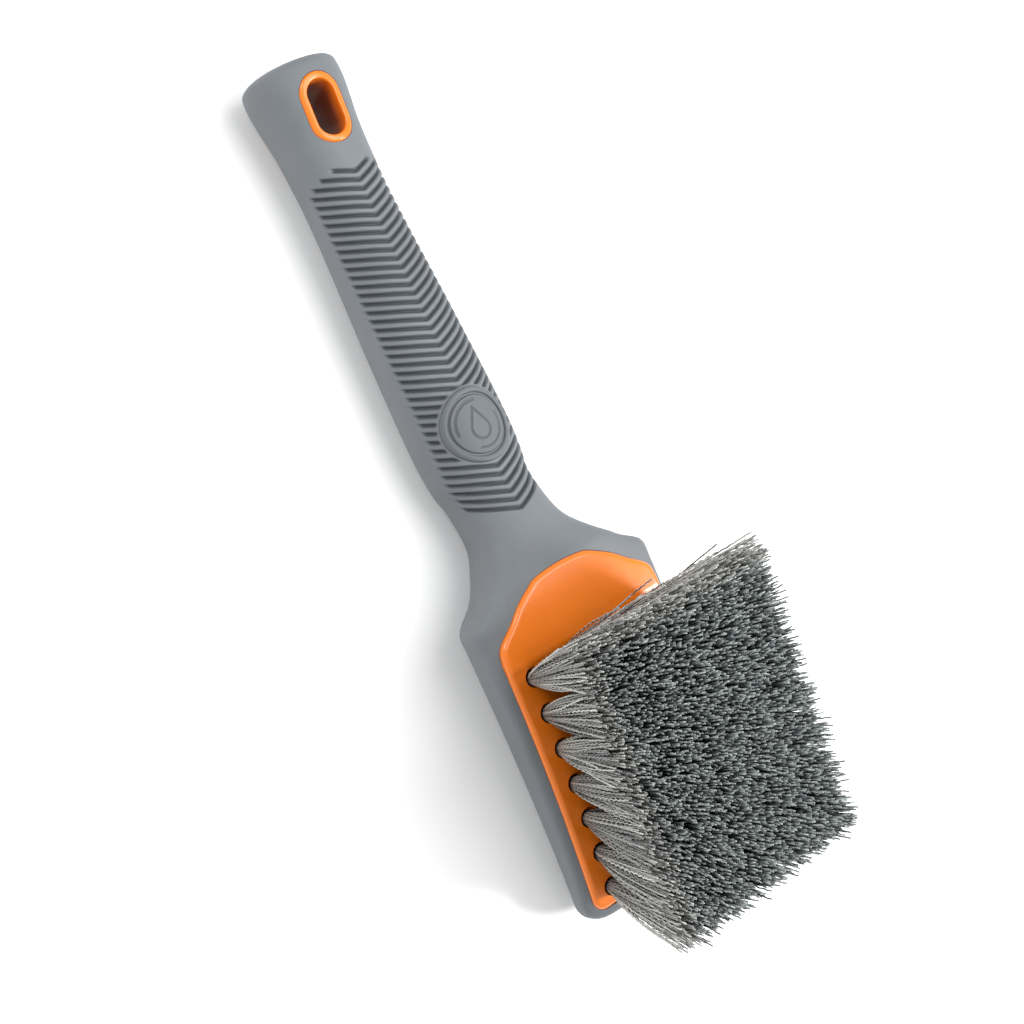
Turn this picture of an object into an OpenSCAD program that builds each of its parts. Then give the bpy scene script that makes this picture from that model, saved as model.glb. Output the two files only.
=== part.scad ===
// Short-handled wheel brush: a hard core moulding with a soft overmould,
// filled with tufts of crimped bristle that flat wire anchors hold in blind holes.
// The brush lies on its back with the bristles up, and +X points towards the toe of the head.
// The origin is on the flat of the back, under the middle of the head.

/* [Handle] */
// Length from the handle end to the toe of the head
overall_l = 254; // [215:1:310]
// Width of the handle at the butt
butt_w = 28.5; // [26:0.2:34]
// Depth of the handle at the butt
butt_h = 28.4; // [26:0.2:34]
// Distance from the handle end to the widest place of the butt
butt_x = 8; // [6:0.5:10]
// Length of the domed handle end
butt_dome = 4; // [3:0.25:5.5]
// Width of the handle at the waist
waist_w = 24.6; // [22:0.2:29]
// Depth of the handle at the waist
waist_h = 24.5; // [21.5:0.2:29]
// Distance from the handle end to the waist
waist_x = 42.6; // [36:0.2:51]
// Width of the palm swell
palm_w = 30.6; // [26:0.2:36]
// Depth of the palm swell
palm_h = 26.4; // [24:0.2:31.6]
// Distance from the palm swell to the start of the head face
palm_gap = 42; // [36:1:50]
// Width of the neck
neck_w = 25.8; // [22.2:0.2:31]
// Distance from the neck to the start of the head face
neck_gap = 23.5; // [20:0.5:28]
// Fall of the handle towards the neck, in degrees
handle_lean = 0.5; // [0.4:0.1:0.6]

/* [Hang slot] */
// Length of the opening
slot_l = 15.6; // [13:0.1:18.8]
// Width of the opening
slot_w = 8.4; // [7:0.1:10.2]
// Wall of the hard liner round the opening
slot_wall = 2.2; // [1.8:0.1:2.6]
// Height of the liner's rim above the soft grip
slot_rim = 0.3; // [0.2:0.05:0.4]
// Distance from the handle end to the middle of the opening
slot_x = 16; // [15:0.5:19]

/* [Badge] */
// Diameter of the round badge on the grip
badge_d = 21.8; // [18:0.2:26]
// Height of the badge above the front of the grip
badge_rise = 0.7; // [0.4:0.1:1.2]
// Distance from the badge to the start of the head face
badge_gap = 43.7; // [37:0.1:52]

/* [Head] */
// Height of the start of the head face
heel_z = 33.5; // [30:0.5:38]
// Slope of the arched face at the heel, in degrees
heel_tilt = 2.8; // [2:0.1:4]
// Slope of the arched face at the toe, in degrees
toe_tilt = 16.8; // [14:0.1:17]
// Length of the bell-shaped heel of the core
bell_l = 17.6; // [15:0.2:21]
// Width of the soft rim round the core
rim_w = 3; // [2.6:0.1:4]
// Drop from the core's face to the soft rim
rim_drop = 1; // [0.8:0.1:1.3]
// Depth from the soft rim to the widest line of the head
rim_depth = 6; // [5:0.5:7]
// Radius of the corners of the toe
toe_r = 7; // [6:0.5:8.5]
// Radius of the edge under the toe
toe_round = 5.5; // [4.5:0.5:6.5]
// Depth that the flat of the back cuts off the round underside
back_flat = 2.4; // [1.5:0.1:3]
// Thickness of the core in the head
core_t = 10; // [9.5:0.5:12]
// Radius of the core's upper edges
core_round = 1.6; // [1.2:0.1:2]

/* [Handle core] */
// Diameter of the core inside the grip at the hang slot
rod_d1 = 12; // [10:0.5:14.5]
// Diameter of the core inside the grip at the neck
rod_d2 = 15; // [12.5:0.5:18]
// Thickness of the web that joins the rod to the head
web_w = 13; // [11:0.5:15.5]

/* [Tufts] */
// Number of tufts along the head
cols = 7; // [5:1:8]
// Number of tufts across the head
rows = 5; // [3:2:7]
// Spacing of the tufts along the head
pitch_l = 10.9; // [9:0.1:13.1]
// Spacing of the tufts across the head
pitch_w = 10.6; // [8.8:0.1:12.8]
// Diameter of a tuft hole
hole_d = 5; // [4.2:0.1:6]
// Depth of a tuft hole
hole_depth = 7; // [6:0.5:7.5]
// Gap all round a tuft in its hole
tuft_clear = 0.1; // [0.05:0.05:0.2]
// Distance from the start of the face to the first hole
heel_land = 25; // [22:0.5:30]
// Distance from the edge of the outer holes to the side of the core
side_land = 4.6; // [3.8:0.1:5.6]
// Distance from the edge of the last holes to the end of the core
toe_land = 2.6; // [2.2:0.1:3.2]
// Height of the bristle tips above the middle of the tuft field
trim_h = 44.6; // [37:0.2:53.6]
// Slope of the trimmed tips towards the toe, in degrees
trim_tilt = 10.3; // [8.6:0.1:12.4]
// Outward lean of the end tufts over the trim height
flare_l = 5.4; // [4.5:0.1:6.5]
// Outward lean of the side tufts over the trim height
flare_w = 7; // [5.8:0.1:8.4]
// Gap between neighbouring tufts at the tips
tip_gap = 0.4; // [0.3:0.05:0.5]

/* [Anchors] */
// Thickness of an anchor wire
anchor_t = 0.5; // [0.4:0.05:0.6]
// Height of an anchor wire
anchor_h = 2; // [1.6:0.1:2.4]
// Gap between an anchor and the fibres folded over it
anchor_clear = 0.05; // [0.05:0.01:0.1]

/* [Hidden] */
// Gap left between the two mouldings along their bond
bond = 0.05;
// Fineness of the grip's skin, round the section and along its smooth stretches
ring_n = 48;
skin_step = 6;

hole_r = hole_d / 2;
tuft_r = hole_r - tuft_clear;
core_hw = (rows - 1) / 2 * pitch_w + hole_r + side_land;
core_l = heel_land + (cols - 1) * pitch_l + hole_r + toe_land;
head_hw = core_hw + rim_w;
head_l = core_l + rim_w;
face_x = overall_l - head_l;
face_r = head_l / (sin(toe_tilt) - sin(heel_tilt));
neck_x = face_x - neck_gap;
palm_x = face_x - palm_gap;
badge_x = face_x - badge_gap;
rest_x = face_x + head_l / 2;
field_x = face_x + heel_land + (cols - 1) / 2 * pitch_l;

// Smooth curve through knots [x, value], with the slope at a knot taken from its neighbours
function knot_slope(k, i) =
    let (a = max(i - 1, 0), b = min(i + 1, len(k) - 1))
    (k[b][1] - k[a][1]) / (k[b][0] - k[a][0]);
function hermite(t, v0, s0, v1, s1) =
    v0 * (2 * t^3 - 3 * t^2 + 1) + s0 * (t^3 - 2 * t^2 + t)
    + v1 * (3 * t^2 - 2 * t^3) + s1 * (t^3 - t^2);
function span_of(x, k, i = 0) = i >= len(k) - 2 || x < k[i + 1][0] ? i : span_of(x, k, i + 1);
function curve(x, k) =
    x <= k[0][0] ? k[0][1] :
    x >= k[len(k) - 1][0] ? k[len(k) - 1][1] :
    let (i = span_of(x, k), w = k[i + 1][0] - k[i][0])
    hermite((x - k[i][0]) / w, k[i][1], knot_slope(k, i) * w, k[i + 1][1], knot_slope(k, i + 1) * w);
function mix(a, b, f) = a + (b - a) * f;

// Quarter-round shortening of a half size near the toe
function round_off(d, r) = d >= r ? 0 : r - sqrt(max(0, r^2 - (r - d)^2));
// Share of the full section in the domed handle end, and the station where a share is reached
dome_power = 3.5;
function dome(x) = x >= butt_dome ? 1 : (1 - (1 - x / butt_dome)^dome_power)^(1 / dome_power);
function dome_x(share) = butt_dome * (1 - (1 - share^dome_power)^(1 / dome_power));

// Height of the arched face along X
function face_z(x) =
    heel_z + face_r * (sqrt(1 - (sin(heel_tilt) + (x - face_x) / face_r)^2) - cos(heel_tilt));

// Lines of the grip: its axis, half width and half depth along X
function axis_z(x) = butt_h / 2 - (x - butt_x) * tan(handle_lean);
flank_knots = [
    [0, butt_w / 2 - 0.4], [butt_x, butt_w / 2], [mix(butt_x, waist_x, 0.42), mix(butt_w, waist_w, 0.8) / 2],
    [waist_x, waist_w / 2], [mix(waist_x, palm_x, 0.55), mix(waist_w, palm_w, 0.67) / 2], [palm_x, palm_w / 2],
    [mix(palm_x, neck_x, 0.6), mix(palm_w, neck_w, 0.32) / 2], [neck_x, neck_w / 2],
    [face_x - 0.5 * neck_gap, mix(neck_w / 2, head_hw, 0.02)],
    [face_x - 0.2 * neck_gap, mix(neck_w / 2, head_hw, 0.26)],
    [face_x + 2, mix(neck_w / 2, head_hw, 0.61)],
    [face_x + 6.5, mix(neck_w / 2, head_hw, 0.96)],
    [face_x + 12, head_hw],
    [overall_l, head_hw - 0.4]
];
depth_knots = [
    [0, butt_h / 2 - 0.4], [butt_x, butt_h / 2], [mix(butt_x, waist_x, 0.42), mix(butt_h, waist_h, 0.76) / 2],
    [waist_x, waist_h / 2], [palm_x, palm_h / 2], [neck_x, palm_h / 2 - 0.2]
];
// Share of the way from the grip's lines to the head's lines
rise_knots = [[neck_x - 4, 0], [neck_x + 4, 0.2], [face_x - 7, 0.62], [face_x, 1]];

function rim_z(x) = face_z(x) - rim_drop;
function grip_top(x) = axis_z(x) + curve(x, depth_knots);
function skin_top(x) = mix(grip_top(x), rim_z(x), curve(x, rise_knots));
function skin_mid(x) = mix(axis_z(x), rim_z(x) - rim_depth, curve(x, rise_knots));
function skin_low(x) = mix(axis_z(x) - curve(x, depth_knots), -back_flat, curve(x, rise_knots));
function toe_d(x) = overall_l - x;
function skin_hw(x) = dome(x) * (curve(x, flank_knots) - round_off(toe_d(x), toe_r));
function skin_up(x) =
    dome(x) * (skin_top(x) - skin_mid(x) - round_off(toe_d(x), 0.5 * rim_w));
function skin_down(x) =
    dome(x) * (skin_mid(x) - skin_low(x) - round_off(toe_d(x), toe_round));
// The upper half of the section squares up from the grip to the head
function up_power(x) = mix(2.1, 4.2, curve(x, rise_knots));
function down_power(x) = mix(2.1, 2, curve(x, rise_knots));
function bow(c, p) = sign(c) * pow(abs(c), 2 / p);

// One ring of the skin at station x, grown outwards by g
function ring(x, g) = [
    for (i = [0:ring_n - 1])
        let (a = 360 * (i + 0.5) / ring_n, p = sin(a) > 0 ? up_power(x) : down_power(x))
        [
            x,
            (skin_hw(x) + g) * bow(cos(a), p),
            skin_mid(x) + ((sin(a) > 0 ? skin_up(x) : skin_down(x)) + g) * bow(sin(a), p)
        ]
];
// Stations: close together on the rounded ends and the shoulders, wider on the grip
stations = concat(
    [for (t = [0.26, 0.5, 0.7, 0.82, 0.9, 0.95, 0.98, 1]) dome_x(t)],
    [for (x = [butt_dome + skin_step : skin_step : neck_x - 2]) x],
    [for (t = [0:1/14:1]) mix(neck_x, face_x + 14, t)],
    [for (t = [0.125:0.125:0.9]) mix(face_x + 14, overall_l - toe_r, t)],
    [for (t = [90:-12:6]) overall_l - toe_r * (1 - cos(t))]
);

// Closed solid through rings of the same number of points, which turn by the right-hand rule.
// With arched ends, a ring is the same on both sides of its first point, and strips across it close it.
module loft(rings, arched = false) {
    m = len(rings[0]);
    n = len(rings);
    ends = arched ? strips(m) : [[for (i = [0:m - 1]) i]];
    polyhedron(
        points = [for (q = rings) each q],
        faces = concat(
            ends,
            [for (e = ends) [for (i = [len(e) - 1:-1:0]) (n - 1) * m + e[i]]],
            [for (s = [0:n - 2], i = [0:m - 1]) [s * m + i, (s + 1) * m + i, (s + 1) * m + (i + 1) % m]],
            [for (s = [0:n - 2], i = [0:m - 1]) [s * m + i, (s + 1) * m + (i + 1) % m, s * m + (i + 1) % m]]
        ),
        convexity = 6
    );
}

function strips(m) = concat(
    [[0, 1, m - 1]],
    [for (i = [1:(m - 3) / 2]) each [[i, i + 1, m - i - 1], [i, m - i - 1, m - i]]]
);

module skin() {
    loft([for (x = stations) ring(x, 0)]);
}

// Short length of the skin between two stations, grown outwards by g, that trims what stands on the grip
module skin_collar(x0, x1, g) {
    loft([for (t = [0:0.125:1]) ring(mix(x0, x1, t), g)]);
}

// Half outline of the core's face seen from above: bell-shaped heel, straight sides and a rounded toe
bell = [[0, 0], [0.04, 0.3], [0.13, 0.43], [0.30, 0.61], [0.50, 0.76], [0.75, 0.955], [1, 1]];
core_toe_r = toe_r - rim_w;
function bell_part(i, t) =
    let (
        a = bell[max(i - 1, 0)], b = bell[i], c = bell[i + 1], d = bell[min(i + 2, len(bell) - 1)],
        s = i == 0 ? [0, c[1]] : (c - a) / 2
    )
    [
        bell_l * hermite(t, b[0], s[0], c[0], (d[0] - b[0]) / 2),
        core_hw * hermite(t, b[1], s[1], c[1], (d[1] - b[1]) / 2)
    ];
function core_half() = concat(
    [for (i = [0:len(bell) - 2], t = [0:0.2:0.9]) bell_part(i, t)],
    [for (t = [0:1/12:0.99]) [mix(bell_l, core_l - core_toe_r, t), core_hw]],
    [for (t = [0:10:90]) [core_l - core_toe_r * (1 - sin(t)), core_hw - core_toe_r * (1 - cos(t))]]
);
function both_sides(h) = concat(
    [for (q = h) [q[0], -q[1]]],
    [for (i = [len(h) - 1:-1:1]) h[i]]
);
function outward(p, i) =
    let (n = len(p), t = p[(i + 1) % n] - p[(i + n - 1) % n])
    [t[1], -t[0]] / norm(t);
function inset(p, d) = [for (i = [0:len(p) - 1]) p[i] - outward(p, i) * d];
core_outline = both_sides(core_half());

// Outline drawn in by d and laid h above the arched face
function core_ring(d, h) = [
    for (q = inset(core_outline, d)) [face_x + q[0], q[1], face_z(face_x + q[0]) + h]
];
// Core head block: straight sides with a rounded upper edge, arched like its face
module core_block() {
    loft(concat(
        [core_ring(0, -core_t)],
        [for (t = [0:18:90]) core_ring(core_round * (1 - cos(t)), core_round * (sin(t) - 1))]
    ), arched = true);
}

// Straight-sided round-ended bar along Z, centred on the hang slot
module slot_bar(l, w, z0 = -5) {
    straight = (l - w) / 2;
    for (s = [-1, 1])
        translate([slot_x + s * straight, 0, z0])
            cylinder(h = butt_h + 10, d = w, $fn = 64);
    translate([slot_x - straight, -w / 2, z0])
        cube([2 * straight, w, butt_h + 10]);
}

// Round rod in the grip, leaning with it, from the hang slot to under the head
module rod(g = 0) {
    x0 = slot_x + slot_l / 2 - g;
    x1 = face_x - 4 + g;
    translate([x0, 0, axis_z(x0)])
        rotate([0, 90 + handle_lean, 0])
            cylinder(h = x1 - x0, d1 = rod_d1 + 2 * g, d2 = rod_d2 + 2 * g, $fn = 96);
}

// Upright web that carries the rod up into the head block
module web(g = 0) {
    w = web_w / 2 + g;
    top = heel_z - core_t / 2;
    rotate([90, 0, 0])
        translate([0, 0, -w])
            linear_extrude(height = 2 * w)
                polygon([
                    [neck_x + 4 - g, axis_z(neck_x) - 3 - g],
                    [face_x + 22 + g, axis_z(neck_x) - 3 - g],
                    [face_x + 34 + g, top - 9],
                    [face_x + 34 + g, top - 6],
                    [face_x + 3 - g, top],
                    [neck_x + 4 - g, axis_z(neck_x) + 3 + g]
                ]);
}

// Holes stand upright, in the direction in which the mould opens
function hole_x(c) = face_x + heel_land + (c - 1) * pitch_l;
function hole_y(r) = (r - (rows + 1) / 2) * pitch_w;
module at_hole(c, r) {
    translate([hole_x(c), hole_y(r), face_z(hole_x(c))])
        children();
}
module each_hole() {
    for (c = [1:cols], r = [1:rows])
        at_hole(c, r) children();
}

module core() {
    color("darkorange") {
        difference() {
            union() {
                core_block();
                web();
                rod();
            }
            each_hole()
                translate([0, 0, -hole_depth])
                    cylinder(h = hole_depth + 2, r = hole_r, $fn = 32);
            slot_bar(slot_l, slot_w);
        }
        intersection() {
            difference() {
                slot_bar(slot_l + 2 * slot_wall, slot_w + 2 * slot_wall, 0);
                slot_bar(slot_l, slot_w);
            }
            skin_collar(0.2, slot_x + slot_l, slot_rim);
        }
    }
}

// The core's outside, grown by the bond gap, which the overmould is moulded round
module core_room() {
    loft([core_ring(-bond, -core_t - bond), core_ring(-bond, 20)], arched = true);
    web(bond);
    rod(bond);
    slot_bar(slot_l + 2 * slot_wall + 2 * bond, slot_w + 2 * slot_wall + 2 * bond);
}

module overmould() {
    color("slategray")
        difference() {
            union() {
                skin();
                intersection() {
                    translate([badge_x, 0, axis_z(badge_x)])
                        cylinder(h = palm_h, d = badge_d, $fn = 96);
                    skin_collar(badge_x - badge_d, badge_x + badge_d, badge_rise);
                }
            }
            translate([-1, -100, -50])
                cube([overall_l + 2, 200, 50]);
            core_room();
        }
}

// Height of the trimmed tips along X
function trim_z(x) = face_z(field_x) + trim_h - (x - field_x) * tan(trim_tilt);

// One tuft: folded over its anchor in the hole, then fanning out to its share of the trimmed tips
module tuft(c, r) {
    u = c - (cols + 1) / 2;
    v = r - (rows + 1) / 2;
    tip_pitch_l = pitch_l + 2 * flare_l / cols;
    tip_pitch_w = pitch_w + 2 * flare_w / rows;
    lean = [u * (tip_pitch_l - pitch_l), v * (tip_pitch_w - pitch_w)];
    plate = 1.2;
    fan_r = tuft_r - 0.06;
    // The fan starts where the tuft is clear of the sloping face all round
    clear = tuft_r * tan(toe_tilt) + 0.1;
    tip_h = trim_z(hole_x(c) + lean[0]) - face_z(hole_x(c));
    color("gainsboro")
        at_hole(c, r) {
            difference() {
                translate([0, 0, tuft_clear - hole_depth])
                    cylinder(h = hole_depth + clear - tuft_clear, r = tuft_r, $fn = 32);
                anchor_shape(anchor_clear);
            }
            hull() {
                translate([0, 0, clear - 0.1])
                    cylinder(h = 0.5, r = fan_r, $fn = 24);
                translate([lean[0], lean[1], tip_h - plate / 2])
                    rotate([0, trim_tilt, 0])
                        cube([tip_pitch_l - tip_gap, tip_pitch_w - tip_gap, plate], center = true);
            }
        }
}

// Flat wire driven across a hole, just above its floor
module anchor_shape(g = 0) {
    translate([0, 0, 0.6 + anchor_h / 2 - hole_depth])
        cube([anchor_t + 2 * g, hole_d + 2 * g + 0.4, anchor_h + 2 * g], center = true);
}

module tuft_anchors() {
    color("silver")
        each_hole()
            intersection() {
                anchor_shape();
                translate([0, 0, -hole_depth])
                    cylinder(h = hole_depth, r = hole_r - 0.02, $fn = 32);
            }
}

// Moves the brush from stations counted from the handle end to its own origin
module placed() {
    translate([-rest_x, 0, 0])
        children();
}

placed() core();
placed() overmould();
placed() tuft_anchors();
for (c = [1:cols], r = [1:rows])
    placed() tuft(c, r);
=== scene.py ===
"""Looks of a short-handled wheel brush, built round its CAD part: grip, core, badge and crimped bristles."""

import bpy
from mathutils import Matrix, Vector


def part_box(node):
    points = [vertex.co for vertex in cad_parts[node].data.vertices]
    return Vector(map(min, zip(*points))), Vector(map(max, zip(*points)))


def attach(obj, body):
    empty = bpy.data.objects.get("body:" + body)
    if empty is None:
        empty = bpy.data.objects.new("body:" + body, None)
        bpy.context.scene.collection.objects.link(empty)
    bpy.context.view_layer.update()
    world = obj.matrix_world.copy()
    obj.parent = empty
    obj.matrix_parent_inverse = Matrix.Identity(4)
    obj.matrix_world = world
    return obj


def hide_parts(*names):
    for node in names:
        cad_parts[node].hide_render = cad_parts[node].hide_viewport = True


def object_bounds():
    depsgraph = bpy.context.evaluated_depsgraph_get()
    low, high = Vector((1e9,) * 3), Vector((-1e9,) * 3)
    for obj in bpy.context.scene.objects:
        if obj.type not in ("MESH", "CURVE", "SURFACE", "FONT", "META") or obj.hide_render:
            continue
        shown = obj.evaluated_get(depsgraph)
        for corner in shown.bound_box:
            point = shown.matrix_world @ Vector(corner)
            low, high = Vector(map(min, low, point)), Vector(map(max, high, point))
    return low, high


bl_info = {
    "name": "Wheel Brush",
    "version": (1, 0, 0),
    "blender": (4, 5, 0),
    "location": "3D View > Sidebar > Wheel Brush",
    "description": "Builds a wheel brush with a ribbed soft grip and fanned tufts of crimped bristle",
    "category": "Add Mesh",
}

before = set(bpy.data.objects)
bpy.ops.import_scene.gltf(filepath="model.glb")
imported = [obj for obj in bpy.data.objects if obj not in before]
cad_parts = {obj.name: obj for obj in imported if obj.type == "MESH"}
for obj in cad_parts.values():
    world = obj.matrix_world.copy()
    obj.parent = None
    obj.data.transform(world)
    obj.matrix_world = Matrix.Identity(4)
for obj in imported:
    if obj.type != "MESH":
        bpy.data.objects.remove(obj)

import math

import bmesh
import bpy
import numpy as np
from bpy.props import FloatProperty, FloatVectorProperty, IntProperty, PointerProperty
from mathutils import Matrix, Vector
from mathutils.kdtree import KDTree

CAD_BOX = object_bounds()
MM = 0.001
SEED = 7
FULL_TURN = 2 * math.pi

# Powers of the rounded sections
DOME_POWER = 3.3
HANDLE_POWER = 2.1
HEAD_POWER = 4.2
UNDER_POWER = 2.0

# Half outline of the bell-shaped heel, as shares of its length and half width
BELL = ((0, 0), (0.04, 0.3), (0.13, 0.43), (0.30, 0.61), (0.50, 0.76), (0.75, 0.955), (1, 1))
BELL_STEPS = 14
CORNER_STEPS = 14
SIDE_ROWS = 80

# Where the core's face steps down, before the first holes, in mm
FOLD_FROM = 4.4
FOLD_TO = 2.9

# Cutting shapes: reach below and above and the gap round the core, in mm, and the least share of faces left
CUT_LOW = -8
CUT_HIGH = 40
BOND = 0.05
LEAST_LEFT = 0.3

# Mesh of the grip: points round, rows along in mm, rows of a groove as shares of the pitch
GRIP_COLUMNS = 184
FINE_STEPS = 1441
TABLE_STEP = 0.5
ROW_STEP = 0.9
DOME_ROWS = (0.04, 0.12, 0.22, 0.34, 0.46, 0.57, 0.67, 0.75, 0.82, 0.875, 0.92, 0.95, 0.972, 0.988, 0.997)
GROOVE_ROWS = (-0.42, -0.34, -0.27, -0.2, -0.13, -0.06, 0, 0.06, 0.13, 0.2, 0.27, 0.34, 0.42, 0.5)
TOE_ROWS = 20

# Grooves: chevron slope and nose, half width of the bottom, reach of the first ones
CHEVRON_SLOPE = 0.38
CHEVRON_NOSE = 0.5
GROOVE_FLOOR = 0.08
FIRST_REACHES = (0.42, 0.68, 0.88, 1.0)

# Badge, in mm: half width of its rim, height of its field, depth of the mark, and the mark's two arcs
BADGE_RIM = 0.95
BADGE_RIM_POWER = 2.4
BADGE_FIELD = 0.42
MARK_DEPTH = 0.28
ARC_IN_R = 6.7
ARC_OUT_R = 7.1
DROP_R = 2.9
DROP_LOW = -1.3
DROP_TIP = 4.9
# Painted shade over the whole badge, as a share of the groove colour
BADGE_SHADE = 0.34

# Tuft holes: chamfer rings as (outside the hole's radius, height from the face), in mm
CHAMFER = ((0, -0.9), (0.12, -0.5), (0.45, 0.0), (0.8, 0.6), (0.8, 3.0))
PIN = 0.01

# Slot liner and the rod inside the grip, in mm
LIP = 0.75
LINER_SHOULDER = 2.5
ROD_END_R = 6.0
ROD_HEAD_R = 7.5
ROD_REACH = 20

# Filaments: gaps, ragged trim and strays, in mm or as shares
ROOT_GAP = 0.35
ROOT_DEPTH = 2.2
MINGLE = 1.04
STRAY_SHARE = 0.16
STRAY_REACH = (1.1, 1.75)
TIP_SCATTER = 0.3
TIP_LIFT = 1.0
TIP_RAGGED = 5.6
TIP_DOME = 1.8
STRAY_DROP = 0.6
FAN_POWER = 0.84
BOW = 1.3
WANDER = 0.03
FILAMENT_SIDES = 3
# A three-sided filament is drawn wider, to cover as much as a round one
FILAMENT_FILL = 1.12


def size(label, about, mm):
    """A length property given in millimetres."""
    return FloatProperty(name=label, description=about, default=mm * MM, min=0.0, unit="LENGTH", precision=5)


def angle(label, about, degrees):
    return FloatProperty(name=label, description=about, default=math.radians(degrees), subtype="ANGLE")


def number(label, about, value, low, high):
    return IntProperty(name=label, description=about, default=value, min=low, max=high)


def colour(label, about, rgb):
    return FloatVectorProperty(name=label, description=about, default=rgb, min=0.0, max=1.0, subtype="COLOR")


# Sizes and colours

class WHEELBRUSH_PG_grip(bpy.types.PropertyGroup):
    overall_l: size("Overall length", "Handle end to the toe of the head", 254)
    butt_w: size("Butt width", "Handle at the butt", 28.5)
    butt_h: size("Butt depth", "Handle at the butt", 28.4)
    butt_x: size("Butt place", "Handle end to the widest place of the butt", 8)
    butt_dome: size("End dome", "Length of the domed handle end", 4.2)
    waist_w: size("Waist width", "Handle at the waist", 24.6)
    waist_h: size("Waist depth", "Handle at the waist", 24.5)
    waist_x: size("Waist place", "Handle end to the waist", 42.6)
    palm_w: size("Palm width", "Width of the palm swell", 30.6)
    palm_h: size("Palm depth", "Depth of the palm swell", 26.4)
    palm_gap: size("Palm gap", "Palm swell to head face", 42)
    neck_w: size("Neck width", "Width of the neck", 25.8)
    neck_gap: size("Neck gap", "Neck to head face", 23.5)
    handle_lean: angle("Handle lean", "Fall of the handle towards the neck", 0.5)
    slot_l: size("Slot length", "Length of the hang slot", 15.6)
    slot_w: size("Slot width", "Width of the hang slot", 8.4)
    slot_wall: size("Slot liner", "Wall of the liner round the slot", 2.2)
    slot_rim: size("Slot rim", "Height of the liner above the grip", 0.25)
    slot_x: size("Slot place", "Handle end to the middle of the slot", 16)
    badge_d: size("Badge diameter", "Diameter of the round badge", 21.8)
    badge_rise: size("Badge rise", "Height of the badge's rim above the grip", 0.8)
    badge_gap: size("Badge gap", "Badge to head face", 43.7)
    groove_count: number("Grooves", "Along the grip", 40, 1, 60)
    groove_first: size("First groove", "Handle end to the point of the first groove", 34.7)
    groove_pitch: size("Groove pitch", "Spacing of the grooves", 2.64)
    groove_w: size("Groove width", "Width of a groove at the surface", 1.9)
    groove_depth: size("Groove depth", "Depth of a groove", 1.0)
    groove_arc: size("Groove reach", "Reach of a groove round the grip from the top line", 16.5)


class WHEELBRUSH_PG_head(bpy.types.PropertyGroup):
    heel_z: size("Face height", "Height of the start of the head face", 33.5)
    heel_tilt: angle("Heel slope", "Slope of the arched face at the heel", 2.8)
    toe_tilt: angle("Toe slope", "Slope of the arched face at the toe", 16.8)
    bell_l: size("Bell length", "Length of the bell-shaped heel of the core", 17.6)
    rim_w: size("Rim width", "Width of the soft rim round the core", 3)
    rim_drop: size("Rim drop", "Drop from the core's face to the soft rim", 1)
    rim_depth: size("Rim depth", "Depth from the soft rim to the widest line of the head", 6)
    toe_r: size("Toe corner", "Radius of the corners of the toe", 7)
    toe_round: size("Toe edge", "Radius of the edge under the toe", 5.5)
    back_flat: size("Back flat", "Depth that the flat of the back cuts off the round underside", 2.4)
    core_t: size("Core thickness", "Thickness of the core in the head", 10)
    core_round: size("Core edge", "Radius of the core's upper edges", 1.6)
    fold_h: size("Fold height", "Step down from the heel of the core to the tuft field", 0.9)


class WHEELBRUSH_PG_tufts(bpy.types.PropertyGroup):
    cols: number("Tufts along", "Along the head", 7, 1, 9)
    rows: number("Tufts across", "Across the head", 5, 1, 9)
    pitch_l: size("Pitch along", "Tuft spacing along the head", 10.9)
    pitch_w: size("Pitch across", "Tuft spacing across the head", 10.6)
    hole_d: size("Hole diameter", "Diameter of a tuft hole", 5)
    hole_depth: size("Hole depth", "Depth of a tuft hole", 7)
    heel_land: size("Heel land", "From the start of the face to the first hole", 25)
    side_land: size("Side land", "From the outer holes to the side of the core", 4.6)
    toe_land: size("Toe land", "From the last holes to the end of the core", 2.6)
    trim_h: size("Trim height", "Height of the tips above the middle of the tuft field", 44.6)
    trim_tilt: angle("Trim slope", "Slope of the trimmed tips towards the toe", 10.3)
    flare_l: size("End flare", "Outward lean of the end tufts", 5.4)
    flare_w: size("Side flare", "Outward lean of the side tufts", 7)
    filaments: number("Filaments", "In each tuft", 235, 20, 600)
    filament_d: size("Filament diameter", "Diameter of one filament", 0.46)
    crimp_l: size("Crimp length", "Length of one crimp wave", 3.4)
    crimp_h: size("Crimp height", "Height of a crimp from its middle line", 0.2)


class WHEELBRUSH_PG_colours(bpy.types.PropertyGroup):
    grip: colour("Grip", "Soft grip", (0.146, 0.160, 0.172))
    # Painted shade colour, mixed into the groove bottoms and over the badge
    groove: colour("Grooves", "Bottom of the grooves", (0.040, 0.048, 0.057))
    core: colour("Core", "Hard core", (0.80, 0.180, 0.009))
    bristle: colour("Bristle", "A light filament", (0.47, 0.475, 0.455))
    bristle_dark: colour("Dark bristle", "A dark filament", (0.19, 0.195, 0.2))
    wire: colour("Anchor wire", "Anchors", (0.62, 0.62, 0.6))
    floor: colour("Floor", "Studio floor", (0.93, 0.93, 0.93))


# Shape of the brush

def mix(a, b, f):
    return a + (b - a) * f


def smooth(lo, hi, x):
    t = np.clip((x - lo) / (hi - lo), 0.0, 1.0)
    return t * t * (3 - 2 * t)


def hermite(a, b, slope_a, slope_b, t):
    """Curve from a to b with the given slopes at its ends."""
    return (a * (2 * t**3 - 3 * t**2 + 1) + slope_a * (t**3 - 2 * t**2 + t)
            + b * (3 * t**2 - 2 * t**3) + slope_b * (t**3 - t**2))


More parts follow.
